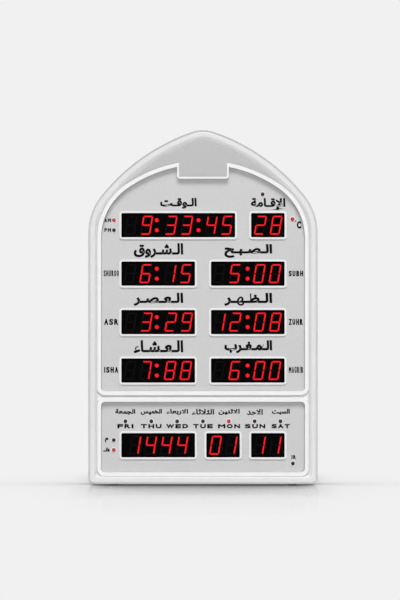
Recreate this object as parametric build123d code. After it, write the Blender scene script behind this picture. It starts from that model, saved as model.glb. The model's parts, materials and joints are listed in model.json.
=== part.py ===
"""Prayer-time clock for a wall or a shelf: a white pointed-arch case with eleven red LED windows.

Frame, in millimetres: +X to the right, +Y to the rear, +Z up. The origin is on the surface that the
clock stands on, under the middle of the case. Depths are measured back from the front of the case,
and heights are measured up from the bottom of the case, which stands on its feet.
"""

from build123d import *
from math import acos, cos, degrees, radians, sin, sqrt, tan
import os

# ---------------------------------------------------------------- case outline
case_width = 308.0
case_height = 475.0
case_depth = 44.0
shoulder_radius = 78.0      # arc from the straight side into the arch
shoulder_angle = 38.5       # degrees that this arc turns
flank_radius = 265.0        # long, nearly straight side of the point
apex_radius = 48.5          # rounded tip
base_corner_radius = 7.5
foot_proud = 1.0            # how far the rubber feet stand out below the case

# ---------------------------------------------------------------- front moulding
wall = 2.6
front_edge_round = 4.5
band_width = 8.6            # flat band that runs round the front
band_ramp = 4.8             # slope from the band down to the crown floor
crown_sink = 4.0
crown_corner = 3.5          # least rounding of the slope's lower corners
field_inset = 17.3          # from the side of the case to the edge of both silver fields
bead_width = 6.1            # raised bead round each field
bead_sink = 0.4
bead_slope = 1.0            # bevel on the bead's outer edge
tab_bead_width = 3.5        # narrower bead round the hanging tab
face_sink = 8.0
face_wall = 2.6
cover_depth = 8.0           # of the rear cover's rim, within the depth of the case
seam_gap = 0.2              # all round the cover's tongue
past = 1.0                  # how far a cut runs on past the face that it opens
root = 1.0                  # how far a boss, post or clip reaches into what it stands on

# ---------------------------------------------------------------- silver fields
main_field_bottom = 125.0
main_field_corner = 5.0
arch_drop = 8.3             # springing of the field's arch below that of the case
arch_side_radius = 81.5
arch_crown_radius = 177.0
tab_width = 69.6            # plate that hangs from the crown into the main field
tab_drop = 19.1             # below the top of the field's arch
tab_corner = 4.0
calendar_bottom = 16.2
calendar_top = 110.8
calendar_corner = 5.5
overlay_thickness = 0.8
overlay_gap = 0.25

# ---------------------------------------------------------------- display windows
digit_height = 25.4
digit_width = 13.4
digit_slant = 9.5           # degrees
segment_width = 1.85
segment_corner = 1.0        # cut off the corners of a digit
segment_gap = 0.3
segment_proud = 0.3
digit_pitch = 21.1
colon_pitch = 11.7
colon_dot_radius = 2.6
colon_dot_spacing = 13.4
colon_shifts = {"left": (-1.9, 0.3), "right": (-0.2, -0.2)}  # of a window's first and second colon
module_margin = 1.4         # black border beside the outer cells
module_height = 32.6
module_depth = 11.0
module_gap = 0.2            # between a module and the neck of its bezel
bezel_width = 2.6
bezel_corner = 4.2
bezel_proud = 1.8
bezel_lip = 1.0             # covers the module's edge
bezel_neck = 0.7
bezel_gap = 0.15            # between the neck and the case
window_corner = 1.1         # cut off the corners of the black area
column_gap = 21.4           # clear face between the two columns of windows, bezels included
time_row_rise = 17.8        # of the top row above the springing of the field's arch
bottom_row_rise = 27.5      # of the lowest main row above the bottom of the field
calendar_row_rise = 36.0    # of the calendar row above the bottom of its field

# ---------------------------------------------------------------- lamps
lamp_radius = 2.5
lamp_gap = 0.15
lamp_proud = 1.2
lamp_slot_margin = 1.0
day_lamp_inset = 5.5        # from the outer edge of the windows to the first and last day lamp
day_lamp_rise = 68.2        # above the bottom of the calendar field
side_lamp_pitch = 13.4      # between the lamps of a pair
morning_lamp_rise = 6.8     # above its row
degree_lamp_rise = 8.2
iqama_lamp_rise = 41.6
iqama_lamp_shift = 7.0      # inwards from the middle of the window below it
gregorian_lamp_rise = 6.9
receiver_rise = 11.6        # above the bottom of the calendar field
# Where a side lamp stands between the windows and the edge of the field, as a share of that strip.
morning_lamp_share = 0.30
degree_lamp_share = 0.33
gregorian_lamp_share = 0.31
receiver_share = 0.35

# ---------------------------------------------------------------- boards and clips
board_thickness = 1.6
board_side_margin = 5.2     # beyond the outermost lamp
main_board_bottom_margin = 6.4
main_board_top_margin = 28.0
main_board_chamfer = 34.0
calendar_board_bottom_margin = 2.8
calendar_board_top_margin = 9.8
clip_width = 8.0
clip_thickness = 3.0
clip_lip = 1.4
clip_gap = 0.2
clip_inset = 18.0           # from the ends of a board's straight side to its outer clips

# ---------------------------------------------------------------- screws
screw_radius = 1.4
screw_head_radius = 3.0
screw_head_height = 2.0
screw_length = 12.0
screw_gap = 0.1
screw_slack = 0.5           # from a screw's tip to the end of its hole
boss_width = 9.0
boss_inset = 10.0           # from the side of the case to the middle of a side boss
low_boss_height = 42.0
high_boss_drop = 17.5       # below the springing of the case's arch
top_boss_drop = 24.0        # below the tip of the case
boss_rib = 2.0
boss_rib_drop = 1.0         # of the rib's end below the top of its boss
short_screw_length = 7.0

# ---------------------------------------------------------------- rear cover
cover_wall = 2.4
rear_edge_slope = 2.4
tongue_height = 2.0
tongue_wall = 1.6
keyhole_spacing = 120.0
keyhole_drop = 7.5          # below the springing of the case's arch
keyhole_radius = 4.5
keyhole_slot_radius = 2.3
keyhole_rise = 9.0
vent_slot_width = 34.0
vent_slot_height = 3.0
vent_pitch = 8.0
vent_count = 6
vent_centre = (92.0, 232.0)
bottom_vent_length = 16.0
bottom_vent_width = 2.0
bottom_vent_count = 3

# ---------------------------------------------------------------- fold-out stand
stand_pivot_height = 190.0
stand_pivot_depth = 40.0
stand_top_width = 52.0
stand_tip_width = 38.0
stand_thickness = 5.4
stand_skin = 2.0
stand_rib_count = 4
stand_barrel_radius = 3.2
stand_gap = 0.5
stand_pocket_depth = 8.0
stand_heel_reach = 5.6
stand_heel_thickness = 3.0
stand_pin_radius = 1.5
stand_pin_gap = 0.05
stand_pin_slack = 0.5       # from each end of the pin to the end of its hole
stand_pad_height = 2.2
finger_notch_radius = 11.0
finger_notch_height = 62.0

# ---------------------------------------------------------------- speaker
speaker_centre = (0.0, 262.0)
speaker_radius = 28.5
speaker_flange = 3.5
speaker_sheet = 1.0
speaker_basket_depth = 10.0
speaker_magnet_radius = 16.0
speaker_magnet_depth = 7.0
speaker_cone_sink = 2.0
speaker_cone_gap = 0.2
speaker_dust_cap_radius = 8.0
speaker_dust_cap_height = 1.5
speaker_hook_gap = 0.3
speaker_hook = 2.0
speaker_hook_width = 10.0
grille_pitch = 5.2
grille_slot = 2.6
grille_radius = 23.5

# ---------------------------------------------------------------- controller board, socket and backup cell
controller_left = 36.0
controller_right = 134.0
controller_bottom = 54.0
controller_top = 176.0
controller_depth = 29.4
post_width = 7.0
bay_centre = 105.0
bay_width = 16.0
bay_height = 43.0
bay_depth = 14.5
bay_wall = 2.2
cord_exit_width = 8.0
cord_exit_depth = 6.0
jack_width = 9.0
jack_height = 10.0
jack_length = 14.0
jack_nose_radius = 4.0
jack_bore_radius = 2.85
jack_bore_depth = 10.0
jack_pin_radius = 1.0
cell_place = (64.0, 140.0)
cell_radius = 10.0
cell_thickness = 3.2
cap_radius = 12.8
cap_flange = 1.6
cap_lip = 1.2
cap_step = 1.7              # from the cap's rim in to its neck
cap_lug_thickness = 1.2
cap_lug_width = 5.0
cap_turn = 45.0             # degrees from locked to free
cap_gap = 0.2
coin_slot_width = 2.0
coin_slot_depth = 1.0
contact_size = (3.0, 0.5)
contact_slot_size = (4.0, 1.5)

# Components on the controller board: places are (x, height), sizes are width, height, thickness.
chip_middle = (108.0, 152.0)
chip_step = 17.0
processor_size = (12.0, 12.0, 1.6)
driver_size = (18.0, 7.5, 2.0)
capacitor_place = (94.0, 84.0)
capacitor_count = 3
capacitor_pitch = 10.5
capacitor_radius = 4.0
capacitor_height = 7.0
regulator_place = (60.0, 76.0)
regulator_size = (10.0, 15.0, 4.5)
sink_fin = 1.6
sink_fins = 4
sink_fin_length = 14.0
crystal_place = (76.0, 156.0)
crystal_length = 11.0
crystal_width = 4.6
crystal_height = 3.4
ribbon_x = 84.0
ribbon_heights = (92.0, 140.0)
ribbon_width = 22.0
ribbon_thickness = 1.2
header_height = 5.0
header_depth = 3.4
sensor_size = 4.0
lead_width = 2.6
lead_thickness = 1.3
lead_start = 14.0
lead_drop = 23.0
lead_rise = 3.0
lead_bend = 2.4
lead_end = (54.0, 162.0)

# ---------------------------------------------------------------- feet
foot_radius = 5.0
foot_spacing = 240.0
foot_inset = 8.0             # from the front of the case, and from the seam with the rear cover

# ---------------------------------------------------------------- depths that follow from the sizes above
parting = case_depth - cover_depth
overlay_front = face_sink - overlay_thickness
bezel_front = overlay_front - bezel_proud
module_front = overlay_front
face_back = face_sink + face_wall
board_front = module_front + module_depth
board_back = board_front + board_thickness
cover_inside = case_depth - cover_wall
plate_middle = case_depth - cover_wall / 2  # what stands on the cover's plate reaches into it this far
controller_back = controller_depth + board_thickness
pocket_floor = case_depth - stand_pocket_depth

# ---------------------------------------------------------------- places that follow from the sizes above
half_width = case_width / 2
flank_x = half_width - shoulder_radius - (flank_radius - shoulder_radius) * cos(radians(shoulder_angle))
flank_drop = (flank_radius - shoulder_radius) * sin(radians(shoulder_angle))
# Angle of the line from the centre of the flank's arc to that of the tip's.
flank_lean = acos(-flank_x / (flank_radius - apex_radius))
case_spring = case_height - apex_radius - (flank_radius - apex_radius) * sin(flank_lean) + flank_drop

field_half = half_width - field_inset
field_spring = case_spring - arch_drop
arch_side_x = field_half - arch_side_radius
arch_crown_drop = sqrt((arch_crown_radius - arch_side_radius) ** 2 - arch_side_x**2)
arch_crown_angle = degrees(acos(arch_side_x / (arch_crown_radius - arch_side_radius)))
field_top = field_spring - arch_crown_drop + arch_crown_radius
tab_bottom = field_top - tab_drop

time_row = field_spring + time_row_rise
row_pitch = (time_row - main_field_bottom - bottom_row_rise) / 3
rows = [time_row - row * row_pitch for row in range(4)]
calendar_row = calendar_bottom + calendar_row_rise

stand_tip_height = wall + seam_gap + cover_wall + stand_gap + stand_pad_height
stand_hole_half = stand_top_width / 2 + stand_gap + cover_wall
boss_side = half_width - boss_inset
high_boss_height = case_spring - high_boss_drop
main_board_bottom = main_field_bottom + main_board_bottom_margin
main_board_top = field_top - main_board_top_margin
calendar_board_bottom = calendar_bottom + calendar_board_bottom_margin
calendar_board_top = calendar_top - calendar_board_top_margin

# Text on each window, its column and row, and how far its digits stand right of their cells' middles.
# A blank is a digit that is off, and ' is half a colon's width of bare face.
windows = {
    "time": (" 9:33:45", "left", rows[0], 1.0),
    "temperature": ("28", "right", rows[0], 0.6),
    "sunrise": (" 6:15", "left", rows[1], -0.4),
    "dawn": (" 5:00", "right", rows[1], -0.9),
    "afternoon": (" 3:29", "left", rows[2], 0.6),
    "noon": ("12:08", "right", rows[2], -0.4),
    "night": (" 7:88", "left", rows[3], -0.4),
    "sunset": (" 6:00", "right", rows[3], -1.1),
    "year": ("'1444'", "left", calendar_row, 0.4),
    "month": ("01", "middle", calendar_row, 0.5),
    "day": ("11", "right", calendar_row, -0.5),
}
segments_of = {
    "0": "abcdef", "1": "bc", "2": "abdeg", "3": "abcdg", "4": "bcfg",
    "5": "acdfg", "6": "acdefg", "7": "abc", "8": "abcdefg", "9": "abcdfg", " ": "",
}


# ================================================================ helpers
def level(depth):
    """Drawing plane at a depth behind the front: x is to the right, y is up from the case's bottom."""
    return Plane(origin=(0, depth - case_depth / 2, foot_proud), x_dir=(1, 0, 0), z_dir=(0, -1, 0))


def slab(profile, front, back):
    """The profile as a solid between two depths."""
    return extrude(level(back) * profile, amount=back - front, dir=(0, -1, 0))


def edges_at(solid, front=True):
    """Outer edges of the solid's foremost or rearmost flat face."""
    face = solid.faces().sort_by(Axis.Y)[0 if front else -1]
    return face.outer_wire().edges()


def block(x_range, z_range, depth_range):
    """Upright box between two x values, two heights and two depths."""
    (left, right), (low, high) = x_range, z_range
    middle = Pos((left + right) / 2, (low + high) / 2)
    return slab(middle * Rectangle(right - left, high - low), *depth_range)


def disc(place, radius, front, back):
    return slab(Pos(*place) * Circle(radius), front, back)


def group(solids):
    """Separate solids that share one node."""
    return Compound(children=[solid for part in solids for solid in part.solids()])


def face_of(edges):
    return make_face(Curve() + edges)


# ================================================================ outlines, seen from the front
def case_outline(inset=0.0, least_corner=0.0):
    """Pointed arch of the case, moved inwards by inset. Deep inside, its lower corners may be square."""
    lean = degrees(flank_lean)
    corner = max(base_corner_radius - inset, least_corner)
    side_x, corner_x = half_width - inset, half_width - inset - corner
    flank_z = case_spring - flank_drop
    edges = []
    for side in (1, -1):
        def arc(x, z, radius, start, size):
            first = start if side > 0 else 180 - start - size
            return CenterArc((side * x, z), radius, first, size)

        edges += [
            Line((side * side_x, inset + corner), (side * side_x, case_spring)),
            arc(half_width - shoulder_radius, case_spring, shoulder_radius - inset, 0, shoulder_angle),
            arc(flank_x, flank_z, flank_radius - inset, shoulder_angle, lean - shoulder_angle),
        ]
        if corner > 0:
            edges.append(arc(corner_x, inset + corner, corner, -90, 90))
    edges.append(CenterArc((0, case_height - apex_radius), apex_radius - inset, lean, 180 - 2 * lean))
    edges.append(Line((-corner_x, inset), (corner_x, inset)))
    return face_of(edges)


def main_arch(grow=0.0):
    """Three-centred arch of the main silver field, as if nothing hung into it."""
    corner = main_field_corner + grow
    low = main_field_bottom - grow
    edges = []
    for side in (1, -1):
        start = 0 if side > 0 else 180 - arch_crown_angle
        foot = -90 if side > 0 else 180
        wide = side * (field_half + grow)
        side_centre = (side * arch_side_x, field_spring)
        edges += [
            Line((wide, low + corner), (wide, field_spring)),
            CenterArc(side_centre, arch_side_radius + grow, start, arch_crown_angle),
            CenterArc((wide - side * corner, low + corner), corner, foot, 90),
        ]
    centre, turn = (0, field_spring - arch_crown_drop), 180 - 2 * arch_crown_angle
    edges.append(CenterArc(centre, arch_crown_radius + grow, arch_crown_angle, turn))
    edges.append(Line((corner - field_half - grow, low), (field_half + grow - corner, low)))
    return face_of(edges)


def tab_outline(grow=0.0):
    """Hanging tab, drawn on past the top of the field."""
    top = field_top + 2 * bead_width
    low = tab_bottom - grow
    tab = Pos(0, (top + low) / 2) * Rectangle(tab_width + 2 * grow, top - low)
    rounding = tab_corner + grow
    if rounding > 0:
        tab = fillet(tab.vertices().sort_by(Axis.Y)[:2], rounding)
    return tab


def main_field(grow=0.0):
    """The main silver field. It grows faster under its arch than round the tab."""
    return main_arch(grow) - tab_outline(-grow * tab_bead_width / bead_width)


def calendar_field(grow=0.0):
    middle = Pos(0, (calendar_top + calendar_bottom) / 2)
    height = calendar_top - calendar_bottom + 2 * grow
    return middle * RectangleRounded(2 * (field_half + grow), height, calendar_corner + grow)


def cell_width(mark):
    return {":": colon_pitch, "'": colon_pitch / 2}.get(mark, digit_pitch)


def window_width(text):
    return sum(cell_width(mark) for mark in text) + 2 * module_margin


window_edge = column_gap / 2 + window_width(" 6:15")


def window_centre(name):
    """Middle of a window. The middle one sits halfway between its neighbours."""
    text, column, height, _ = windows[name]
    inward = window_edge - window_width(text) / 2
    if column == "left":
        return (-inward, height)
    if column == "right":
        return (inward, height)
    left_end = window_width(windows["year"][0]) - window_edge
    right_end = window_edge - window_width(windows["day"][0])
    return ((left_end + right_end) / 2, height)


def window_size(name, grow):
    return window_width(windows[name][0]) + 2 * grow, module_height + 2 * grow


def window_outline(name, grow=0.0):
    """Black area of a window with its corners cut off, or with grow an even strip more all round."""
    shape = chamfer(Rectangle(*window_size(name, grow)).vertices(), window_corner + (2 - sqrt(2)) * grow)
    return Pos(*window_centre(name)) * shape


# ================================================================ lamps: where each one stands
def side_x(share):
    """Place across the strip between the windows and the edge of the field."""
    strip_start = window_edge + bezel_width
    return strip_start + share * (field_half - strip_start)


def below(place):
    return (place[0], place[1] - side_lamp_pitch)


day_lamp_reach = window_edge - day_lamp_inset
day_lamps = [
    ((day / 3 - 1) * day_lamp_reach, calendar_bottom + day_lamp_rise) for day in range(7)
]
lit_day_lamp = day_lamps[4]
morning_lamp = (-side_x(morning_lamp_share), time_row + morning_lamp_rise)
degree_lamp = (side_x(degree_lamp_share), time_row + degree_lamp_rise)
iqama_lamp = (window_centre("temperature")[0] - iqama_lamp_shift, time_row + iqama_lamp_rise)
gregorian_lamp = (-side_x(gregorian_lamp_share), calendar_row + gregorian_lamp_rise)
receiver_place = (side_x(receiver_share), calendar_bottom + receiver_rise)
lit_lamps = [morning_lamp, degree_lamp, below(gregorian_lamp), lit_day_lamp]
dark_lamps = [iqama_lamp, below(morning_lamp), gregorian_lamp]
dark_lamps += [place for place in day_lamps if place != lit_day_lamp]
main_lamps = [morning_lamp, below(morning_lamp), iqama_lamp, degree_lamp]
calendar_lamps = [gregorian_lamp, below(gregorian_lamp), receiver_place] + day_lamps
board_half = receiver_place[0] + board_side_margin


def lamp(place):
    """5 mm lamp on a spacer of its own width that stands on the board."""
    return disc(place, lamp_radius, overlay_front - lamp_proud, board_front)


def lamp_slot(places):
    """One opening behind the overlay for a row of lamps."""
    reach = lamp_radius + lamp_slot_margin
    across = [x for x, _ in places]
    up = [z for _, z in places]
    span = (min(across) - reach, max(across) + reach)
    return block(span, (min(up) - reach, max(up) + reach), (face_sink - past, face_back + past))


# ================================================================ front moulding
def bead(field):
    """Raised bead round a field, solid down to the back of the face, with a bevelled outer edge."""
    raised = slab(field(bead_width), bead_sink, face_back)
    return chamfer(edges_at(raised), bead_slope)


def boss_places():
    heights = (low_boss_height, high_boss_height)
    places = [(x, height) for height in heights for x in (-boss_side, boss_side)]
    return places + [(0, case_height - top_boss_drop)]


def post(place, width, front, back):
    """Square post for a screw."""
    return slab(Pos(*place) * Rectangle(width, width), front, back)


def screw_boss(place):
    """Post for a cover screw, tied to the side wall by a rib."""
    x, height = place
    boss = post(place, boss_width, face_back - root, parting - tongue_height)
    if x == 0:
        return boss
    wall_x = (half_width - wall / 2) * (1 if x > 0 else -1)
    span = (min(x, wall_x), max(x, wall_x))
    rib_heights = (height - boss_rib / 2, height + boss_rib / 2)
    return boss + block(span, rib_heights, (face_back - root, parting - tongue_height - boss_rib_drop))


def clip_heights():
    """Three clips up the straight sides of the main board and two up the calendar board."""
    low, high = main_board_bottom + clip_inset, main_board_top - main_board_chamfer - clip_inset
    small = (calendar_board_bottom + clip_inset, calendar_board_top - clip_inset)
    return [low, (low + high) / 2, high, *small]


def board_clip(height, side):
    """Post with a ledge in front of the board's edge and a lip behind it."""
    outer = board_half + clip_gap + clip_thickness
    heights = (height - clip_width / 2, height + clip_width / 2)
    lip_back = board_back + clip_gap + clip_lip

    def span(near, far):
        return (near, far) if side > 0 else (-far, -near)

    clip = block(span(board_half + clip_gap, outer), heights, (face_back - root, lip_back))
    clip += block(span(board_half - clip_lip, outer), heights, (face_back - root, board_front))
    clip += block(span(board_half - clip_lip, outer), heights, (board_back + clip_gap, lip_back))
    return clip


def foot_places():
    depths = (foot_inset, parting - foot_inset)
    return [(x, depth - case_depth / 2) for x in (-foot_spacing / 2, foot_spacing / 2) for depth in depths]


def foot(place):
    """Round rubber foot stuck to the underside."""
    flat = Plane(origin=(place[0], place[1], 0), x_dir=(1, 0, 0), z_dir=(0, 0, 1))
    return extrude(flat * Circle(foot_radius), amount=foot_proud)


def bottom_vents():
    """Slots in the underside that let room air reach the temperature sensor."""
    cuts = []
    for row in range(bottom_vent_count):
        depth = board_back + (1 + 2 * row) * bottom_vent_width
        left = -bottom_vent_length / 2 - bay_centre
        span = (left, left + bottom_vent_length)
        cuts.append(block(span, (-past, wall + past), (depth, depth + bottom_vent_width)))
    return cuts


def front_housing():
    body = slab(case_outline(), 0, parting)
    body = fillet(edges_at(body), front_edge_round)
    top, floor = case_outline(band_width, crown_corner), case_outline(band_width + band_ramp, crown_corner)
    body -= loft([level(0) * top, level(crown_sink) * floor], ruled=True)
    for field in (main_field, calendar_field):
        body += bead(field)
        body -= slab(field(), bead_sink - past, face_sink)
    body -= slab(case_outline(wall), face_back, parting + past)
    neck = bezel_lip + module_gap + bezel_neck + bezel_gap
    body -= [slab(window_outline(name, neck), face_sink - past, face_back + past) for name in windows]
    body -= lamp_slot([morning_lamp, below(morning_lamp)])
    body -= lamp_slot([gregorian_lamp, below(gregorian_lamp)])
    body -= lamp_slot(day_lamps)
    for place in (iqama_lamp, degree_lamp, receiver_place):
        body -= lamp_slot([place])
    for place in boss_places():
        body += screw_boss(place)
        pilot_front = parting + cover_wall - screw_length
        body -= disc(place, screw_radius + screw_gap / 2, pilot_front, parting + past)
    for side in (-1, 1):
        for height in clip_heights():
            body += board_clip(height, side)
    body -= bottom_vents()
    return body


def lamp_holes(places):
    return [disc(place, lamp_radius + lamp_gap, overlay_front - past, face_sink + past) for place in places]


def overlay(field, names, places):
    """Thin silver sheet under the window bezels, with a hole for each lamp."""
    neck = bezel_lip + module_gap + bezel_neck + bezel_gap
    sheet = slab(field(-overlay_gap), overlay_front, face_sink)
    sheet -= [slab(window_outline(name, neck), overlay_front - past, face_sink + past) for name in names]
    sheet -= lamp_holes(places)
    return sheet


def crown_plate():
    """Silver sheet on the crown floor, which hangs down as a tab between the two halves of the arch."""
    outer = case_outline(band_width + band_ramp + overlay_gap)
    outer &= Pos(0, field_spring + case_height / 2) * Rectangle(case_width, case_height)
    inner = main_field(bead_width + overlay_gap)
    sheet = slab(outer - inner, crown_sink - overlay_thickness, crown_sink)
    return max(sheet.solids(), key=lambda solid: solid.volume)


def bezel(name):
    """White frame whose flange lies on the silver sheet and whose neck holds the display module."""
    rounded = RectangleRounded(*window_size(name, bezel_width), bezel_corner)
    flange = Pos(*window_centre(name)) * rounded - window_outline(name)
    seat = bezel_lip + module_gap
    neck = window_outline(name, seat + bezel_neck) - window_outline(name, seat)
    return slab(flange, bezel_front, overlay_front) + slab(neck, overlay_front, face_back)


# ================================================================ displays
def leaning(points):
    return [(x + z * tan(radians(digit_slant)), z) for x, z in points]


def segment_outlines():
    """The seven segments of one digit round its own middle, by letter."""
    w, h, t = digit_width / 2, digit_height / 2, segment_width
    g, c = segment_gap / 2, segment_corner
    inner = w - t - g
    top = [(c - w, h), (w - c, h), (inner, h - t), (-inner, h - t)]
    upper_right = [(w, h - c), (w, g), (w - t, t / 2 + g), (w - t, h - t - g)]
    tip = w - t / 2 - g
    bar = [(-tip, 0), (-inner, t / 2), (inner, t / 2), (tip, 0), (inner, -t / 2), (-inner, -t / 2)]

    def flipped(points, x, z):
        return [(x * px, z * pz) for px, pz in points]

    shapes = {
        "a": top, "b": upper_right, "c": flipped(upper_right, 1, -1), "d": flipped(top, 1, -1),
        "e": flipped(upper_right, -1, -1), "f": flipped(upper_right, -1, 1), "g": bar,
    }
    return {letter: Polygon(*leaning(points), align=None) for letter, points in shapes.items()}


outlines = segment_outlines()


def on_face(profile):
    return slab(profile, module_front - segment_proud, module_front)


def window_lights(name):
    """Lit and dark segments of one window, as two lists of solids."""
    text, column, height, shift = windows[name]
    middle, _ = window_centre(name)
    x = middle - window_width(text) / 2 + module_margin
    colon_places = iter(colon_shifts.get(column, ()))
    lit, dark = [], []
    for mark in text:
        centre = x + cell_width(mark) / 2
        x += cell_width(mark)
        if mark == ":":
            dot_x = centre + next(colon_places)
            for rise in (-colon_dot_spacing / 2, colon_dot_spacing / 2):
                lit.append(on_face(Pos(dot_x, height + rise) * Circle(colon_dot_radius)))
        elif mark != "'":
            for letter, outline in outlines.items():
                solid = on_face(Pos(centre + shift, height) * outline)
                (lit if letter in segments_of[mark] else dark).append(solid)
    return lit, dark


def display_module(name):
    """Black reflector block of one window, whose edge lies behind the bezel's lip."""
    return slab(window_outline(name, bezel_lip), module_front, board_front)


def main_board():
    cut = main_board_chamfer
    outline = Polygon(
        (-board_half, main_board_bottom), (board_half, main_board_bottom),
        (board_half, main_board_top - cut), (board_half - cut, main_board_top),
        (cut - board_half, main_board_top), (-board_half, main_board_top - cut),
        align=None,
    )
    return slab(outline, board_front, board_back)


def calendar_board():
    heights = (calendar_board_bottom, calendar_board_top)
    return block((-board_half, board_half), heights, (board_front, board_back))


# ================================================================ fold-out stand
def stand_outline(grow=0.0, low=stand_tip_height):
    """Leg seen from behind: wide at the pivot, narrow at the tip."""
    top, high = stand_top_width / 2 + grow, stand_pivot_height - stand_barrel_radius
    tip = stand_tip_width / 2 + grow
    return Polygon((-top, high), (top, high), (tip, low - grow), (-tip, low - grow), align=None)


def along_x(radius, half_length):
    """Round bar along the stand's pivot."""
    y = stand_pivot_depth - case_depth / 2
    end = (-half_length, y, stand_pivot_height + foot_proud)
    across = Plane(origin=end, x_dir=(0, 1, 0), z_dir=(1, 0, 0))
    return extrude(across * Circle(radius), amount=2 * half_length)


def stand_leg():
    """Leg with a closed outer skin, side walls and cross ribs, and a heel that stops it when open."""
    back = case_depth - stand_gap / 2
    front = back - stand_thickness
    leg = slab(stand_outline(), front, back)
    hollow = slab(stand_outline(-stand_skin), front - past, back - stand_skin)
    run = stand_pivot_height - stand_tip_height
    for rib in range(1, stand_rib_count + 1):
        height = stand_tip_height + rib * run / (stand_rib_count + 1)
        wide = stand_top_width / 2
        rib_heights = (height - stand_skin / 2, height + stand_skin / 2)
        hollow -= block((-wide, wide), rib_heights, (front - 2, back))
    leg -= hollow
    half = stand_top_width / 2
    leg += along_x(stand_barrel_radius, half)
    neck = (stand_pivot_height - stand_barrel_radius - 2, stand_pivot_height)
    leg += block((-half, half), neck, (stand_pivot_depth, stand_pivot_depth + stand_barrel_radius))
    heel = (stand_pivot_height, stand_pivot_height + stand_heel_reach)
    thick = (stand_pivot_depth - stand_heel_thickness / 2, stand_pivot_depth + stand_heel_thickness / 2)
    leg += block((-half / 2, half / 2), heel, thick)
    leg -= along_x(stand_pin_radius + stand_pin_gap, half + past)
    return leg


def stand_pad():
    """Rubber strip on the leg's tip."""
    half = stand_tip_width / 2 - stand_skin
    back = case_depth - stand_gap / 2
    heights = (stand_tip_height - stand_pad_height, stand_tip_height)
    return block((-half, half), heights, (back - stand_thickness, back - stand_skin / 2))


def pocket_outline(grow=0.0):
    """Recess that the folded leg lies in, with room for its heel and pad."""
    low = stand_tip_height - stand_pad_height - stand_gap - grow
    high = stand_pivot_height + stand_heel_reach + 2 * stand_gap + grow
    top = stand_top_width / 2 + stand_gap + grow
    tip = stand_tip_width / 2 + stand_gap + grow
    shoulder = stand_pivot_height - stand_barrel_radius
    return Polygon(
        (-top, high), (top, high), (top, shoulder), (tip, low), (-tip, low), (-top, shoulder), align=None
    )


def finger_notch(back, grow=0.0):
    """Round bite beside the leg, down to the floor of its recess."""
    place = (stand_top_width / 2 - finger_notch_radius / 3, finger_notch_height)
    return disc(place, finger_notch_radius + grow, pocket_floor - grow, back)


# ================================================================ rear cover
def keyhole(side):
    """Round entry for a screw head, with a narrow slot above it."""
    x, height = side * keyhole_spacing / 2, case_spring - keyhole_drop
    head = Pos(x, height) * Circle(keyhole_radius)
    slot = Pos(x, height + keyhole_rise / 2) * Rectangle(2 * keyhole_slot_radius, keyhole_rise)
    end = Pos(x, height + keyhole_rise) * Circle(keyhole_slot_radius)
    return slab(head + slot + end, cover_inside - past, case_depth + past)


def slot_rows(centre, width_at, height, pitch, count):
    """Level slots stacked round a centre; width_at gives each one's width from its height offset."""
    cuts = []
    for row in range(count):
        offset = (row - (count - 1) / 2) * pitch
        half = width_at(offset) / 2
        low = centre[1] + offset - height / 2
        span = (centre[0] - half, centre[0] + half)
        cuts.append(block(span, (low, low + height), (cover_inside - past, case_depth + past)))
    return cuts


def grille():
    def chord(offset):
        return 2 * sqrt(max(grille_radius**2 - offset**2, 1.0))

    count = 2 * int(grille_radius / grille_pitch) + 1
    return slot_rows(speaker_centre, chord, grille_slot, grille_pitch, count)


def vents():
    cuts = []
    for side in (-1, 1):
        centre = (side * vent_centre[0], vent_centre[1])
        cuts += slot_rows(centre, lambda _: vent_slot_width, vent_slot_height, vent_pitch, vent_count)
    return cuts


cap_neck_radius = cap_radius - cap_step
cap_lug_radius = cap_radius - cap_gap / 2
lip_front = case_depth - cap_flange - cap_lip
lug_chamber_front = lip_front - cap_lug_thickness - 2 * cap_gap
cell_back = lug_chamber_front
cell_front = cell_back - cell_thickness
well_floor = cell_front - cap_gap
well_radius = cap_radius + cap_gap + cover_wall


def lug_pair(radius, extra=0.0):
    """Two opposite lugs as one flat outline across the cap."""
    return Rectangle(2 * radius, cap_lug_width + extra) & Circle(radius)


def battery_well():
    """The well's outside, to add to the cover, and its inside, to cut from it."""
    cup = disc(cell_place, well_radius, well_floor - cover_wall, case_depth)
    seat = disc(cell_place, cap_radius + cap_gap, case_depth - cap_flange, case_depth + past)
    neck = disc(cell_place, cap_neck_radius + cap_gap, lip_front - past, case_depth)
    chamber = disc(cell_place, cap_radius + cap_gap, lug_chamber_front, lip_front)
    entry = Pos(*cell_place) * Rot(0, 0, -cap_turn) * lug_pair(cap_radius + cap_gap / 2, 2 * cap_gap)
    entry = slab(entry, lip_front - past, case_depth - cap_flange + past)
    cavity = disc(cell_place, cell_radius + cap_gap, well_floor, lip_front)
    return cup, [seat, neck, chamber, entry, cavity]


def battery_cap():
    cap = disc(cell_place, cap_radius, case_depth - cap_flange, case_depth)
    cap += disc(cell_place, cap_neck_radius, lug_chamber_front + cap_gap, case_depth)
    lugs = Pos(*cell_place) * lug_pair(cap_lug_radius)
    cap += slab(lugs, lug_chamber_front + cap_gap, lip_front - cap_gap)
    slot = Pos(*cell_place) * Rectangle(1.5 * cap_neck_radius, coin_slot_width)
    cap -= slab(slot, case_depth - coin_slot_depth, case_depth + past)
    return cap


def coin_cell():
    return disc(cell_place, cell_radius, cell_front, cell_back)


def battery_contacts():
    """Two springy strips that stand on the controller board and press on the cell's front."""
    x, height = cell_place
    half_x, half_z = contact_size[0] / 2, contact_size[1] / 2
    strips = []
    for side in (-1, 1):
        middle = x + side * cell_radius / 2
        span = (middle - half_x, middle + half_x)
        strips.append(block(span, (height - half_z, height + half_z), (controller_back, cell_front)))
    return strips


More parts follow.
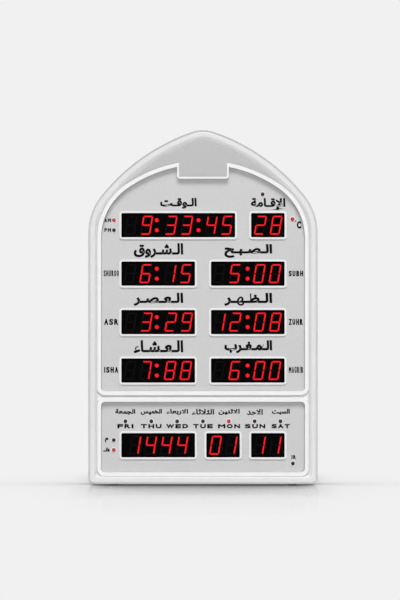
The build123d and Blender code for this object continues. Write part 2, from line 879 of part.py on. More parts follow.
def contact_slots():
    x, height = cell_place
    cuts = []
    half_x, half_z = contact_slot_size[0] / 2, contact_slot_size[1] / 2
    depths = (well_floor - cover_wall - past, well_floor + past)
    for side in (-1, 1):
        middle = x + side * cell_radius / 2
        across = (middle - half_x, middle + half_x)
        cuts.append(block(across, (height - half_z, height + half_z), depths))
    return cuts


bay_low = bay_wall + cover_wall
bay_high = bay_low + bay_height
bay_floor = case_depth - bay_depth


def plug_bay():
    """Bay that takes the power plug: its outside, and what is cut from it."""
    half = bay_width / 2
    outside = block(
        (bay_centre - half - bay_wall, bay_centre + half + bay_wall),
        (wall + seam_gap, bay_high + bay_wall),
        (bay_floor - bay_wall, plate_middle),
    )
    across = (bay_centre - half, bay_centre + half)
    inside = block(across, (bay_low, bay_high), (bay_floor, case_depth + past))
    half_exit = cord_exit_width / 2
    way_out = block(
        (bay_centre - half_exit, bay_centre + half_exit), (-past, bay_low + past),
        (case_depth - cord_exit_depth, case_depth + past),
    )
    return outside, [inside, way_out]


def upright_bar(radius, low, high):
    """Round bar on the plug's axis between two heights."""
    depth = controller_back + jack_height / 2
    end = (bay_centre, depth - case_depth / 2, low + foot_proud)
    flat = Plane(origin=end, x_dir=(1, 0, 0), z_dir=(0, 0, 1))
    return extrude(flat * Circle(radius), amount=high - low)


def post_places():
    """Corners of the controller board. The first two, on a diagonal, take a screw."""
    inset = post_width
    low, high = controller_bottom + inset, controller_top - inset
    left, right = controller_left + inset, controller_right - inset
    return [(left, high), (right, low), (right, high), (left, low)]


def speaker_hooks():
    """Three hooks that reach over the speaker's flange and centre it."""
    inner = speaker_radius + speaker_hook_gap
    lip_back = cover_inside - speaker_sheet - clip_gap
    lip_front = lip_back - clip_lip
    hooks = []
    for turn in (90, 210, 330):
        aim = Pos(*speaker_centre) * Rot(0, 0, turn)
        stem = aim * Pos(inner + speaker_hook / 2, 0) * Rectangle(speaker_hook, speaker_hook_width)
        lip = aim * Pos(inner, 0) * Rectangle(2 * speaker_hook, speaker_hook_width)
        hooks += [slab(stem, lip_front, plate_middle), slab(lip, lip_front, lip_back)]
    return hooks


def rear_cover():
    cover = slab(case_outline(), parting, case_depth)
    cover = chamfer(edges_at(cover, front=False), rear_edge_slope)
    rim = wall + seam_gap
    cover += slab(case_outline(rim), parting - tongue_height, parting + root)
    cover -= slab(case_outline(rim + tongue_wall), parting - tongue_height - past, cover_inside)
    well, well_cuts = battery_well()
    bay, bay_cuts = plug_bay()
    cover += slab(pocket_outline(cover_wall), pocket_floor - cover_wall, plate_middle)
    cover += finger_notch(plate_middle, cover_wall)
    cover += well
    cover += bay
    cover += speaker_hooks()
    cover += [post(place, post_width, controller_back, plate_middle) for place in post_places()]
    cover += [post(place, boss_width, parting - tongue_height, plate_middle) for place in boss_places()]
    cover -= slab(pocket_outline(), pocket_floor, case_depth + past)
    cover -= along_x(stand_pin_radius, stand_hole_half)
    cover -= finger_notch(case_depth + past)
    cover -= well_cuts
    cover -= contact_slots()
    cover -= bay_cuts
    cover -= upright_bar(jack_nose_radius + screw_gap, bay_high - past, bay_high + bay_wall + past)
    for place in boss_places():
        cover -= disc(place, screw_radius + 2 * screw_gap, 0, case_depth)
        cover -= disc(place, screw_head_radius + 2 * screw_gap, parting + cover_wall, case_depth + past)
    thread_end = controller_back + short_screw_length
    for place in post_places()[:2]:
        cover -= disc(place, screw_radius + screw_gap / 2, controller_back - past, thread_end)
    cover -= [keyhole(side) for side in (-1, 1)]
    cover -= grille()
    cover -= vents()
    return cover


# ================================================================ fasteners and feet
def cover_screw(place):
    """Screw that pulls the cover onto its boss."""
    seat = parting + cover_wall
    head = disc(place, screw_head_radius, seat, seat + screw_head_height)
    return head + disc(place, screw_radius, seat - screw_length + screw_slack, seat)


def board_screw(place):
    """Short screw that holds the controller board to its post, with its head towards the front."""
    head = disc(place, screw_head_radius, controller_depth - screw_head_height, controller_depth)
    tip = controller_back + short_screw_length - screw_slack
    return head + disc(place, screw_radius, controller_depth, tip)


# ================================================================ controller board
def controller_board():
    spans = (controller_left, controller_right), (controller_bottom, controller_top)
    board = block(*spans, (controller_depth, controller_back))
    for place in post_places()[:2]:
        board -= disc(place, screw_radius + screw_gap, controller_depth - past, controller_back + past)
    return board


def on_controller(centre, width, height, thickness):
    """A component on the front of the controller board."""
    x, z = centre
    span = (x - width / 2, x + width / 2)
    return block(span, (z - height / 2, z + height / 2), (controller_depth - thickness, controller_depth))


def power_jack():
    """Barrel socket on the back of the controller board, facing down into the plug bay."""
    low = bay_high + bay_wall
    low_face = max(low + screw_gap, controller_bottom)
    half = jack_width / 2
    body = block(
        (bay_centre - half, bay_centre + half), (low_face, low_face + jack_length),
        (controller_back, controller_back + jack_height),
    )
    body += upright_bar(jack_nose_radius, bay_high + 0.5, low_face + 1)
    body -= upright_bar(jack_bore_radius, bay_high, low_face + jack_bore_depth)
    return body


def jack_pin():
    low_face = max(bay_high + bay_wall + screw_gap, controller_bottom)
    return upright_bar(jack_pin_radius, bay_high + 1, low_face + jack_bore_depth)


def controller_chips():
    """Processor, display driver and sound chip, with their legs hidden under the bodies."""
    return [
        on_controller(chip_middle, *processor_size),
        on_controller((chip_middle[0], chip_middle[1] - chip_step), *driver_size),
        on_controller((chip_middle[0], chip_middle[1] - 2 * chip_step), *driver_size),
    ]


def capacitors():
    """Row of electrolytic cans beside the power socket."""
    x, z = capacitor_place
    front = controller_depth - capacitor_height
    return [
        disc((x + step * capacitor_pitch, z), capacitor_radius, front, controller_depth)
        for step in range(capacitor_count)
    ]


def voltage_regulator():
    """Three-legged regulator on its upright heat sink."""
    x, z = regulator_place
    width, height, thickness = regulator_size
    sink = on_controller((x, z), width + 2 * sink_fin, sink_fin, thickness + sink_fin)
    for step in range(sink_fins):
        offset = (step / (sink_fins - 1) - 0.5) * (width + sink_fin)
        centre = (x + offset, z + sink_fin_length / 2)
        sink += on_controller(centre, sink_fin, sink_fin_length, thickness + sink_fin)
    return sink


def crystal():
    x, z = crystal_place
    can = Pos(x, z) * SlotOverall(crystal_length, crystal_width)
    return slab(can, controller_depth - crystal_height, controller_depth)


def header(x, z, front, back):
    """Connector block for a ribbon cable."""
    span = (x - ribbon_width / 2 - 1, x + ribbon_width / 2 + 1)
    return block(span, (z - header_height / 2, z + header_height / 2), (front, back))


def ribbon_headers():
    """Connector pairs: one on each display board, facing one on the controller board."""
    pairs = []
    for z in ribbon_heights:
        pairs.append(header(ribbon_x, z, board_back, board_back + header_depth))
        pairs.append(header(ribbon_x, z, controller_depth - header_depth, controller_depth))
    return pairs


def ribbon_cables():
    """Short flat cables between the facing connectors."""
    across = (ribbon_x - ribbon_width / 2, ribbon_x + ribbon_width / 2)
    half = ribbon_thickness / 2
    depths = (board_back + header_depth, controller_depth - header_depth)
    return [block(across, (z - half, z + half), depths) for z in ribbon_heights]


def temperature_sensor():
    """Small sensor on the calendar board, above the air slots in the underside."""
    span = (-bay_centre - sensor_size / 2, -bay_centre + sensor_size / 2)
    low = calendar_board_bottom + 1
    return block(span, (low, low + sensor_size), (board_back, board_back + sensor_size))


def speaker_leads():
    """Flat two-core lead from the speaker's rim to the controller board."""
    x, z = speaker_centre
    start, end = (x + lead_start, z - lead_drop), lead_end
    run = controller_depth - lead_rise
    corners = [(*start, basket_back - speaker_sheet), (*start, run), (*end, run), (*end, controller_depth)]
    points = [(across, depth - case_depth / 2, up + foot_proud) for across, up, depth in corners]
    path = FilletPolyline(*points, radius=lead_bend)
    along = (end[0] - start[0], 0, end[1] - start[1])
    section = Plane(origin=path @ 0, x_dir=along, z_dir=path % 0) * Rectangle(lead_thickness, lead_width)
    return sweep(section, path=path)


# ================================================================ speaker
def speaker_profile(points):
    """Ring round the speaker's axis from (radius, depth) corners."""
    y = -case_depth / 2
    plane = Plane(origin=(0, y, 0), x_dir=(1, 0, 0), z_dir=(0, 0, -1))
    corners = [(radius, -depth) for radius, depth in points]
    ring = revolve(plane * Polygon(*corners, align=None), Axis.Y)
    return Pos(speaker_centre[0], 0, speaker_centre[1] + foot_proud) * ring


basket_back = cover_inside
basket_front = cover_inside - speaker_basket_depth


def speaker_frame():
    """Stamped cup with a flat rim."""
    sheet = speaker_sheet
    bowl = speaker_radius - speaker_flange
    return speaker_profile([
        (speaker_radius, basket_back), (bowl, basket_back), (bowl, basket_front + sheet),
        (0, basket_front + sheet), (0, basket_front), (bowl + sheet, basket_front),
        (bowl + sheet, basket_back - sheet), (speaker_radius, basket_back - sheet),
    ])


def speaker_cone():
    """Paper diaphragm inside the cup, with its dust cap and the voice coil that carries it."""
    rim = speaker_radius - speaker_flange - speaker_cone_gap
    back = basket_back - speaker_cone_sink
    front = back - speaker_sheet
    cap = speaker_dust_cap_radius
    return speaker_profile([
        (rim, back), (cap, back), (cap, back + speaker_dust_cap_height), (0, back + speaker_dust_cap_height),
        (0, basket_front + speaker_sheet), (cap, basket_front + speaker_sheet), (cap, front), (rim, front),
    ])


def speaker_magnet():
    return disc(speaker_centre, speaker_magnet_radius, basket_front - speaker_magnet_depth, basket_front)


# ================================================================ write the parts
def build_parts():
    main_windows = [name for name in windows if windows[name][2] > main_field_bottom]
    calendar_windows = [name for name in windows if name not in main_windows]
    parts = {
        "front_housing": front_housing(),
        "main_face_overlay": overlay(main_field, main_windows, main_lamps),
        "calendar_face_overlay": overlay(calendar_field, calendar_windows, calendar_lamps),
        "crown_plate": crown_plate(),
        "rear_cover": rear_cover(),
        "cover_screws": group(cover_screw(place) for place in boss_places()),
        "rubber_feet": group(foot(place) for place in foot_places()),
        "main_display_board": main_board(),
        "calendar_display_board": calendar_board(),
        "window_bezels": group(bezel(name) for name in windows),
        "lit_lamps": group(lamp(place) for place in lit_lamps),
        "dark_lamps": group(lamp(place) for place in dark_lamps),
        "remote_receiver": lamp(receiver_place),
        "stand_leg": stand_leg(),
        "stand_tip_pad": stand_pad(),
        "stand_pin": along_x(stand_pin_radius, stand_hole_half - stand_pin_slack),
        "battery_cap": battery_cap(),
        "backup_cell": coin_cell(),
        "battery_contacts": group(battery_contacts()),
        "controller_board": controller_board(),
        "controller_screws": group(board_screw(place) for place in post_places()[:2]),
        "controller_chips": group(controller_chips()),
        "capacitors": group(capacitors()),
        "regulator_heat_sink": voltage_regulator(),
        "crystal": crystal(),
        "ribbon_headers": group(ribbon_headers()),
        "ribbon_cables": group(ribbon_cables()),
        "temperature_sensor": temperature_sensor(),
        "speaker_leads": speaker_leads(),
        "power_jack": power_jack(),
        "power_jack_pin": jack_pin(),
        "speaker_frame": speaker_frame(),
        "speaker_cone": speaker_cone(),
        "speaker_magnet": speaker_magnet(),
    }
    dark = []
    for name in windows:
        lit, off = window_lights(name)
        dark += off
        parts[f"{name}_display"] = display_module(name)
        parts[f"{name}_lit_segments"] = group(lit)
    parts["dark_segments"] = group(dark)
    return parts


def main():
    os.makedirs("parts", exist_ok=True)
    for name, shape in build_parts().items():
        export_step(shape, f"parts/{name}.step")


main()
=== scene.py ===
"""Looks of the prayer-time clock: materials, lamps, screw heads, lettering, floor, light and camera.

Sizes are in millimetres, turned into metres by MM, unless a line says otherwise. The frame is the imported
CAD model's: +X to the right, +Y to the rear, +Z up from the surface that the clock stands on.
"""

import json
import math

import bmesh
import bpy
from mathutils import Matrix, Vector

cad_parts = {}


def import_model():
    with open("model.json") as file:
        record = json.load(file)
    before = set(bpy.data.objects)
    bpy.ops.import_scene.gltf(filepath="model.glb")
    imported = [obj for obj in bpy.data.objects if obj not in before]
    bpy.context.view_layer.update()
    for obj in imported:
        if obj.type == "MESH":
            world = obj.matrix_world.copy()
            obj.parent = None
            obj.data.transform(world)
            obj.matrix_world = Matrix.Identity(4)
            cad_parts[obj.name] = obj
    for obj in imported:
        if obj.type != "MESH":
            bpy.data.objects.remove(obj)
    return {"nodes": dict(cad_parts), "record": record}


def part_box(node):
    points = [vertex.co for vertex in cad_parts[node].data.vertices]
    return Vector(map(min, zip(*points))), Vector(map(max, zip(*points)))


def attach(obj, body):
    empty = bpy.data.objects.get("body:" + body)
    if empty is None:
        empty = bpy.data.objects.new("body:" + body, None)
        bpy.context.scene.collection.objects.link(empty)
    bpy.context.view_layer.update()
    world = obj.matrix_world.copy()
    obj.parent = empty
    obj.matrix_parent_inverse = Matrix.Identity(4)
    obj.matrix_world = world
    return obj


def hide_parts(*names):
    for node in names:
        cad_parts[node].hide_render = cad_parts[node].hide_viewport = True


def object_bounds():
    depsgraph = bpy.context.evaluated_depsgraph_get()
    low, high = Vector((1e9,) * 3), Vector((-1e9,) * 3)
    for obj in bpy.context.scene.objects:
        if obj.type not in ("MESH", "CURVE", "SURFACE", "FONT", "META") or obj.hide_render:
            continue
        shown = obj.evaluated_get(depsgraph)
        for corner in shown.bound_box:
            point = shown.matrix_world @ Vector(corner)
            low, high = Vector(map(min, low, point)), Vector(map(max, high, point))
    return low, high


MM = 0.001

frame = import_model()
cad_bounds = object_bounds()
nodes = frame["nodes"]
BAND_Y = cad_bounds[0][1]   # front of the case in metres, the plane of its flat band


# ================================================================ node helpers
BEVEL_SAMPLES = 6
GRAIN_STRENGTH = 0.6
PATCH_CELLS = 14            # size of the broad mottling, in cells of the fine grain


def add(tree, kind, inputs=None, **settings):
    """A new node with its settings, and its inputs given as values or as the sockets that feed them."""
    node = tree.nodes.new(kind)
    for key, value in settings.items():
        setattr(node, key, value)
    for key, value in (inputs or {}).items():
        if isinstance(value, bpy.types.NodeSocket):
            tree.links.new(value, node.inputs[key])
        else:
            node.inputs[key].default_value = value
    return node


def start_material(name, **sockets):
    """Material whose Principled shader has its constant values set on its own sockets."""
    material = bpy.data.materials.new(name)
    material.use_nodes = True
    tree = material.node_tree
    shader = tree.nodes["Principled BSDF"]
    for key, value in sockets.items():
        shader.inputs[key.replace("_", " ")].default_value = value
    return material, tree, shader


def coordinates(tree, kind="Object"):
    """The point's place in the object, in metres, or with kind Normal the way its surface faces."""
    return add(tree, "ShaderNodeTexCoord").outputs[kind]


def axes(tree, vector):
    return add(tree, "ShaderNodeSeparateXYZ", {"Vector": vector}).outputs


def calculate(tree, operation, *values):
    return add(tree, "ShaderNodeMath", dict(enumerate(values)), operation=operation).outputs[0]


def product(tree, *factors):
    result = factors[0]
    for factor in factors[1:]:
        result = calculate(tree, "MULTIPLY", result, factor)
    return result


def noise(tree, scale, detail=3.0, stretch=(1, 1, 1)):
    """Noise over the object's own coordinates, with scale in cells per metre."""
    stretched = add(tree, "ShaderNodeMapping", {"Vector": coordinates(tree), "Scale": stretch})
    inputs = {"Vector": stretched.outputs["Vector"], "Scale": scale, "Detail": detail}
    return add(tree, "ShaderNodeTexNoise", inputs).outputs["Fac"]


def spread(tree, factor, low, high, span=(0.3, 0.7)):
    """Runs from low to high while the factor crosses its span, which by default is that of noise."""
    inputs = {"Value": factor, "From Min": span[0], "From Max": span[1], "To Min": low, "To Max": high}
    return add(tree, "ShaderNodeMapRange", inputs).outputs["Result"]


def rising(tree, factor, start, end):
    return spread(tree, factor, 0.0, 1.0, (start, end))


def falling(tree, factor, start, end):
    return spread(tree, factor, 1.0, 0.0, (start, end))


def blend_colours(tree, factor, dark, light, span=(0.3, 0.7)):
    ramp = add(tree, "ShaderNodeValToRGB", {"Fac": factor})
    for stop, place, colour in zip(ramp.color_ramp.elements, span, (dark, light)):
        stop.position = place
        stop.color = (*colour, 1)
    return ramp.outputs["Color"]


def mixed_colour(tree, share, first, second):
    """First colour, or the second one where the share is 1."""
    node = add(tree, "ShaderNodeMix", data_type="RGBA")
    for key, value in ((0, share), (6, first), (7, second)):
        tree.links.new(value, node.inputs[key])
    return node.outputs[2]


def mixed_shader(tree, share, first, second):
    return add(tree, "ShaderNodeMixShader", {"Fac": share, 1: first, 2: second}).outputs["Shader"]


def relief(tree, shader, height, strength, distance, edge=0.0):
    """Bump from a height, over edges rounded by the bevel radius. Both lengths are in mm."""
    inputs = {"Height": height, "Strength": strength, "Distance": distance * MM}
    if edge:
        bevel = add(tree, "ShaderNodeBevel", {"Radius": edge * MM}, samples=BEVEL_SAMPLES)
        inputs["Normal"] = bevel.outputs["Normal"]
    bump = add(tree, "ShaderNodeBump", inputs)
    tree.links.new(bump.outputs["Normal"], shader.inputs["Normal"])


# ================================================================ materials
def grey(value, tint=0.0):
    """Linear grey, with a little more blue by the tint."""
    return (value, value, value * (1 + tint))


def grained(name, dark, light, rough, cell, bump, edge=0.0, stretch=(1, 1, 1), **sockets):
    """Moulded, cast or rubbed surface: mottled colour and gloss, with a fine grain of a cell size in mm."""
    material, tree, shader = start_material(name, **sockets)
    broad = noise(tree, 1 / (PATCH_CELLS * cell * MM), 4.0, stretch)
    fine = noise(tree, 1 / (cell * MM), 3.0, stretch)
    tree.links.new(blend_colours(tree, broad, dark, light), shader.inputs["Base Color"])
    tree.links.new(spread(tree, fine, *rough), shader.inputs["Roughness"])
    relief(tree, shader, fine, GRAIN_STRENGTH, bump, edge)
    return material


def circuit_board():
    """Green solder mask over copper tracks, with bright pads in rows."""
    material, tree, shader = start_material("circuit_board", Coat_Weight=0.3, Coat_Roughness=0.2)
    upright = (math.radians(90), 0, 0)
    turned = add(tree, "ShaderNodeMapping", {"Vector": coordinates(tree), "Rotation": upright})
    inputs = {
        "Vector": turned.outputs["Vector"], "Scale": 180.0, "Mortar Size": 0.06, "Mortar Smooth": 0.2,
        "Color1": (0.02, 0.15, 0.06, 1), "Color2": (0.03, 0.19, 0.08, 1), "Mortar": (0.06, 0.30, 0.14, 1),
        "Brick Width": 1.7, "Row Height": 0.45,
    }
    tracks = add(tree, "ShaderNodeTexBrick", inputs)
    tree.links.new(tracks.outputs["Color"], shader.inputs["Base Color"])
    tree.links.new(spread(tree, tracks.outputs["Fac"], 0.42, 0.30, (0, 1)), shader.inputs["Roughness"])
    relief(tree, shader, tracks.outputs["Fac"], 0.4, 0.05)
    return material


def ribbon_cable():
    """Grey insulation over parallel cores."""
    material, tree, shader = start_material("cable_grey", Specular_IOR_Level=0.35)
    inputs = {"Vector": coordinates(tree), "Scale": 250.0, "Distortion": 0.0}
    cores = add(tree, "ShaderNodeTexWave", inputs, bands_direction="X").outputs["Fac"]
    tree.links.new(blend_colours(tree, cores, grey(0.34), grey(0.50)), shader.inputs["Base Color"])
    tree.links.new(spread(tree, cores, 0.62, 0.48), shader.inputs["Roughness"])
    relief(tree, shader, cores, 0.5, 0.15)
    return material


MIDDLE_HEIGHT = 0.24        # m, height of the point that the outer edge of the case faces away from


def front_moulding():
    """White plastic of the case: satin band; bead tops painted lighter as painted light, the rounded edge
    painted darker the more it faces up as painted shade, and the slope painted pale as painted light.
    """
    material, tree, shader = start_material("front_moulding", Coat_Weight=0.08, Coat_Roughness=0.15)
    place = axes(tree, coordinates(tree))
    facing = axes(tree, coordinates(tree, "Normal"))
    depth = calculate(tree, "SUBTRACT", place["Y"], BAND_Y)
    aside = calculate(tree, "ABSOLUTE", place["X"])
    flat = falling(tree, facing["Y"], -0.985, -0.95)
    not_flat = calculate(tree, "SUBTRACT", 1.0, flat)

    # The beads' tops: flat, a little behind the band and inside it. They and other flat faces set back from
    # the band are painted lighter than the band, as painted light.
    sunk = rising(tree, depth, 0.15 * MM, 0.30 * MM)
    inner = falling(tree, aside, 140.3 * MM, 141.3 * MM)
    painted_light_tops = product(tree, sunk, flat, inner)

    # The slope from the band down to the crown floor: high up, facing down and to the front. It is painted
    # pale, as painted light.
    high = rising(tree, place["Z"], 0.29, 0.31)
    down = falling(tree, facing["Z"], -0.34, -0.10)
    tilted = falling(tree, facing["Y"], -0.74, -0.70)
    slope = product(tree, high, down, tilted, not_flat)

    # The rounded outer edge: facing away from the middle, just behind the band. It is painted darker the
    # more it faces up, as painted shade.
    out_x = product(tree, place["X"], facing["X"])
    out_z = product(tree, calculate(tree, "SUBTRACT", place["Z"], MIDDLE_HEIGHT), facing["Z"])
    outward = rising(tree, calculate(tree, "ADD", out_x, out_z), 0.0, 0.04)
    near_edge = rising(tree, depth, 0.01 * MM, 0.20 * MM)
    before_side = falling(tree, depth, 7 * MM, 16 * MM)
    rounded = product(tree, outward, near_edge, before_side, not_flat)

    broad, fine = noise(tree, 1 / (8 * MM), 4.0), noise(tree, 1 / (0.6 * MM), 3.0)
    satin = blend_colours(tree, broad, grey(0.745), grey(0.775))
    bright = blend_colours(tree, broad, grey(0.87), grey(0.90))
    slope_painted_light_grey = spread(tree, depth, 0.98, 0.87, (1.4 * MM, 4.0 * MM))
    edge_painted_shade_grey = spread(tree, facing["Z"], 0.76, 0.44, (-0.15, 0.62))
    colour = mixed_colour(tree, painted_light_tops, satin, bright)
    colour = mixed_colour(tree, slope, colour, slope_painted_light_grey)
    colour = mixed_colour(tree, rounded, colour, edge_painted_shade_grey)
    tree.links.new(colour, shader.inputs["Base Color"])
    tree.links.new(spread(tree, fine, 0.30, 0.42), shader.inputs["Roughness"])
    relief(tree, shader, fine, GRAIN_STRENGTH, 0.012, 0.3)
    return material


def lit_segment():
    """Red diffuser lit from behind, a little uneven along its length."""
    constants = {"Roughness": 0.5, "Specular_IOR_Level": 0.05, "Emission_Strength": 0.90}
    material, tree, shader = start_material("segment_lit", **constants)
    patches = noise(tree, 1 / (2.2 * MM), 1.0)
    colour = blend_colours(tree, patches, (0.92, 0.010, 0.018), (1.0, 0.014, 0.024))
    body = blend_colours(tree, patches, (0.16, 0.001, 0.002), (0.20, 0.002, 0.003))
    tree.links.new(colour, shader.inputs["Emission Color"])
    tree.links.new(body, shader.inputs["Base Color"])
    return material


def lamp_glow(name, centre, rim, strength, gloss):
    """Epoxy lamp: a value on the mesh runs from 0 at the rim to 1 at the middle and lightens the middle. On
    a lit lamp that is its glow; on an unlit lamp, which gives no light, it is a painted highlight.
    """
    constants = {"Roughness": gloss, "Specular_IOR_Level": 0.3, "Emission_Strength": strength}
    material, tree, shader = start_material(name, **constants)
    glow_and_highlight = add(tree, "ShaderNodeAttribute", attribute_name="glow_and_highlight").outputs["Fac"]
    colour = blend_colours(tree, glow_and_highlight, rim, centre, (0.25, 0.80))
    tree.links.new(colour, shader.inputs["Base Color"])
    if strength:
        tree.links.new(colour, shader.inputs["Emission Color"])
    relief(tree, shader, noise(tree, 1 / (1.5 * MM), 2.0), 0.1, 0.02)
    return material


# Grained surfaces by slot: dark and light colour, span of roughness, cell and bump in mm, and the rest.
GRAINED = {
    "white_case": (grey(0.80), grey(0.83), (0.26, 0.36), 0.6, 0.012,
                   dict(edge=0.3, Coat_Weight=0.10, Coat_Roughness=0.12)),
    "silver_face": (grey(0.562, 0.004), grey(0.592, 0.006), (0.40, 0.55), 0.22, 0.012, dict(Metallic=0.12)),
    # Crown plate: a darker copy of the face's silver, as painted shade.
    "crown_silver_painted_shade": (grey(0.472, 0.004), grey(0.502, 0.006), (0.42, 0.56), 0.22, 0.012, dict(Metallic=0.12)),
    "steel": (grey(0.50), grey(0.66), (0.24, 0.40), 0.3, 0.01, dict(stretch=(1, 6, 1), Metallic=1.0)),
    "rubber": (grey(0.02), grey(0.035), (0.75, 0.92), 0.4, 0.05, {}),
    "chip_black": (grey(0.016), grey(0.026), (0.55, 0.72), 0.2, 0.02, {}),
    "receiver_black": (grey(0.002), grey(0.004), (0.10, 0.18), 0.4, 0.004, dict(Specular_IOR_Level=0.35)),
    "capacitor_sleeve": ((0.015, 0.028, 0.09), (0.022, 0.04, 0.13), (0.22, 0.32), 0.5, 0.01,
                         dict(Coat_Weight=0.3)),
    "aluminium": (grey(0.62), grey(0.74), (0.30, 0.46), 0.3, 0.012, dict(stretch=(1, 1, 8), Metallic=1.0)),
    "brass": ((0.62, 0.43, 0.17), (0.75, 0.55, 0.25), (0.20, 0.36), 0.3, 0.008, dict(Metallic=1.0)),
    "speaker_paper": (grey(0.035), grey(0.055), (0.80, 0.95), 0.5, 0.08, {}),
    "ferrite": (grey(0.05), grey(0.085), (0.55, 0.75), 0.5, 0.05, {}),
    "display_black": (grey(0.0008), grey(0.0016), (0.42, 0.55), 0.5, 0.01, dict(Specular_IOR_Level=0.012)),
    "segment_dark": (grey(0.0030), grey(0.0050), (0.45, 0.60), 0.4, 0.01, dict(Specular_IOR_Level=0.02)),
    "printed_ink": (grey(0.002), grey(0.004), (0.50, 0.65), 0.3, 0.006, dict(Specular_IOR_Level=0.05)),
}
finishes = {slot: grained(slot, *values, **more) for slot, (*values, more) in GRAINED.items()}
finishes |= {
    "circuit_board": circuit_board(),
    "cable_grey": ribbon_cable(),
    "segment_lit": lit_segment(),
    "lamp_lit": lamp_glow("lamp_lit", centre=(0.78, 0.012, 0.020), rim=(0.13, 0.001, 0.002),
                          strength=0.80, gloss=0.22),
    # Unlit lamps give no light; their lighter middle is a painted highlight.
    "lamp_dark": lamp_glow("lamp_dark", centre=(0.110, 0.006, 0.010), rim=(0.030, 0.002, 0.003),
                           strength=0.0, gloss=0.16),
    "front_moulding": front_moulding(),
}

finish_of = {subpart["node"]: subpart["material_slot"] for subpart in frame["record"]["subparts"]}
# The crown plate gets the darker copy of the face's silver: painted shade.
finish_of["crown_plate"] = "crown_silver_painted_shade"
finish_of["front_housing"] = finish_of["rear_cover"] = "front_moulding"
for node_name, node in nodes.items():
    node.data.materials.clear()
    node.data.materials.append(finishes[finish_of[node_name]])


# ================================================================ geometry helpers
CLUSTER_SIZE = 8.0          # wider than any lamp or screw head, narrower than the space between two


def in_scene(name, data):
    """A new object of the scene."""
    made = bpy.data.objects.new(name, data)
    bpy.context.scene.collection.objects.link(made)
    return made


def mesh_from(name, shape):
    """Turns a BMesh into a mesh and frees it."""
    mesh = bpy.data.meshes.new(name)
    shape.to_mesh(mesh)
    shape.free()
    return mesh


def evaluated_mesh(made):
    """The object's mesh with its modifiers applied, or the outline of its text or curve."""
    bpy.context.view_layer.update()
    return bpy.data.meshes.new_from_object(made.evaluated_get(bpy.context.evaluated_depsgraph_get()))


def piece(name, shape, material, body="case", smooth=True):
    """A new visible piece that rides on a body."""
    mesh = mesh_from(name, shape)
    if smooth:
        mesh.shade_smooth()
    mesh.materials.append(material)
    made = in_scene(name, mesh)
    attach(made, body)
    return made


def clusters(node_name):
    """Middles, in x and z, of the small round pieces that share a CAD node, with the node's y range."""
    found = []
    for vertex in nodes[node_name].data.vertices:
        for group in found:
            apart = vertex.co - group[0]
            if max(abs(apart.x), abs(apart.z)) < CLUSTER_SIZE * MM:
                group.append(vertex.co.copy())
                break
        else:
            found.append([vertex.co.copy()])
    places = []
    for group in found:
        across = [point.x for point in group]
        up = [point.z for point in group]
        places.append(((min(across) + max(across)) / 2, (min(up) + max(up)) / 2))
    low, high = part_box(node_name)
    return sorted(places), low.y, high.y


def lathe(shape, centre, profile, glow_and_highlight=None, segments=40, toward=-1):
    """Turns a profile of (radius, distance out, glow), in metres, about an axis along Y.

    Out is to the front, or to the rear with toward=1.
    """
    x, y, z = centre
    rings = []
    for radius, out, shade in profile:
        if radius == 0:
            ring = [shape.verts.new((x, y + toward * out, z))]
        else:
            ring = []
            for step in range(segments):
                turn = 2 * math.pi * step / segments
                across, up = radius * math.cos(turn), -toward * radius * math.sin(turn)
                ring.append(shape.verts.new((x + across, y + toward * out, z + up)))
        if glow_and_highlight is not None:
            for vertex in ring:
                vertex[glow_and_highlight] = shade
        rings.append(ring)
    for first, second in zip(rings, rings[1:]):
        for step in range(segments):
            after = (step + 1) % segments
            if len(first) == 1:
                shape.faces.new((first[0], second[after], second[step]))
            elif len(second) == 1:
                shape.faces.new((first[step], first[after], second[0]))
            else:
                shape.faces.new((first[step], first[after], second[after], second[step]))


def quarter_turn(steps):
    """Angles from just above 0 to 90 degrees."""
    return [math.radians(90) * step / steps for step in range(1, steps + 1)]


# ================================================================ lamps
LAMP_RADIUS = 2.5
LAMP_DOME = 1.9             # height of the domed top
LAMP_FRONT = 2.2            # how far the top stands out of the silver face
LAMP_ROOT = 2.0             # how far the body goes in behind it
DOME_STEPS = 10
RIM_INNER, RIM_OUTER, RIM_PROUD = 2.52, 3.75, 0.30
RIM_STEPS = 6

face_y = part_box("main_face_overlay")[0].y


def dome_profile():
    """From the board side over the dome to its tip, as (radius, distance out of the face, glow)."""
    shoulder = LAMP_FRONT - LAMP_DOME
    profile = [(LAMP_RADIUS * MM, -LAMP_ROOT * MM, 0.0), (LAMP_RADIUS * MM, shoulder * MM, 0.0)]
    for turn in quarter_turn(DOME_STEPS)[:-1]:
        radius = LAMP_RADIUS * math.cos(turn)
        out = shoulder + LAMP_DOME * math.sin(turn)
        profile.append((radius * MM, out * MM, 1 - radius / LAMP_RADIUS))
    profile.append((0.0, LAMP_FRONT * MM, 1.0))
    return profile


def lamps(node_name, material_slot):
    """Domed lamps in place of the node's plain ones. Returns their middles."""
    shape = bmesh.new()
    glow_and_highlight = shape.verts.layers.float.new("glow_and_highlight")
    places, _, _ = clusters(node_name)
    for x, z in places:
        lathe(shape, (x, face_y, z), dome_profile(), glow_and_highlight)
    made = piece(f"{node_name}_domes", shape, finishes[material_slot])
    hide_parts(node_name)
    return places


def lamp_rims(places):
    """Thin pale ring moulded round each lamp."""
    middle, half = (RIM_INNER + RIM_OUTER) / 2, (RIM_OUTER - RIM_INNER) / 2
    profile = []
    for step in range(RIM_STEPS + 1):
        turn = math.pi * step / RIM_STEPS
        profile.append(((middle + half * math.cos(turn)) * MM, RIM_PROUD * math.sin(turn) * MM, 0))
    shape = bmesh.new()
    for x, z in places:
        lathe(shape, (x, face_y, z), profile)
    piece("lamp_rims", shape, finishes["white_case"])


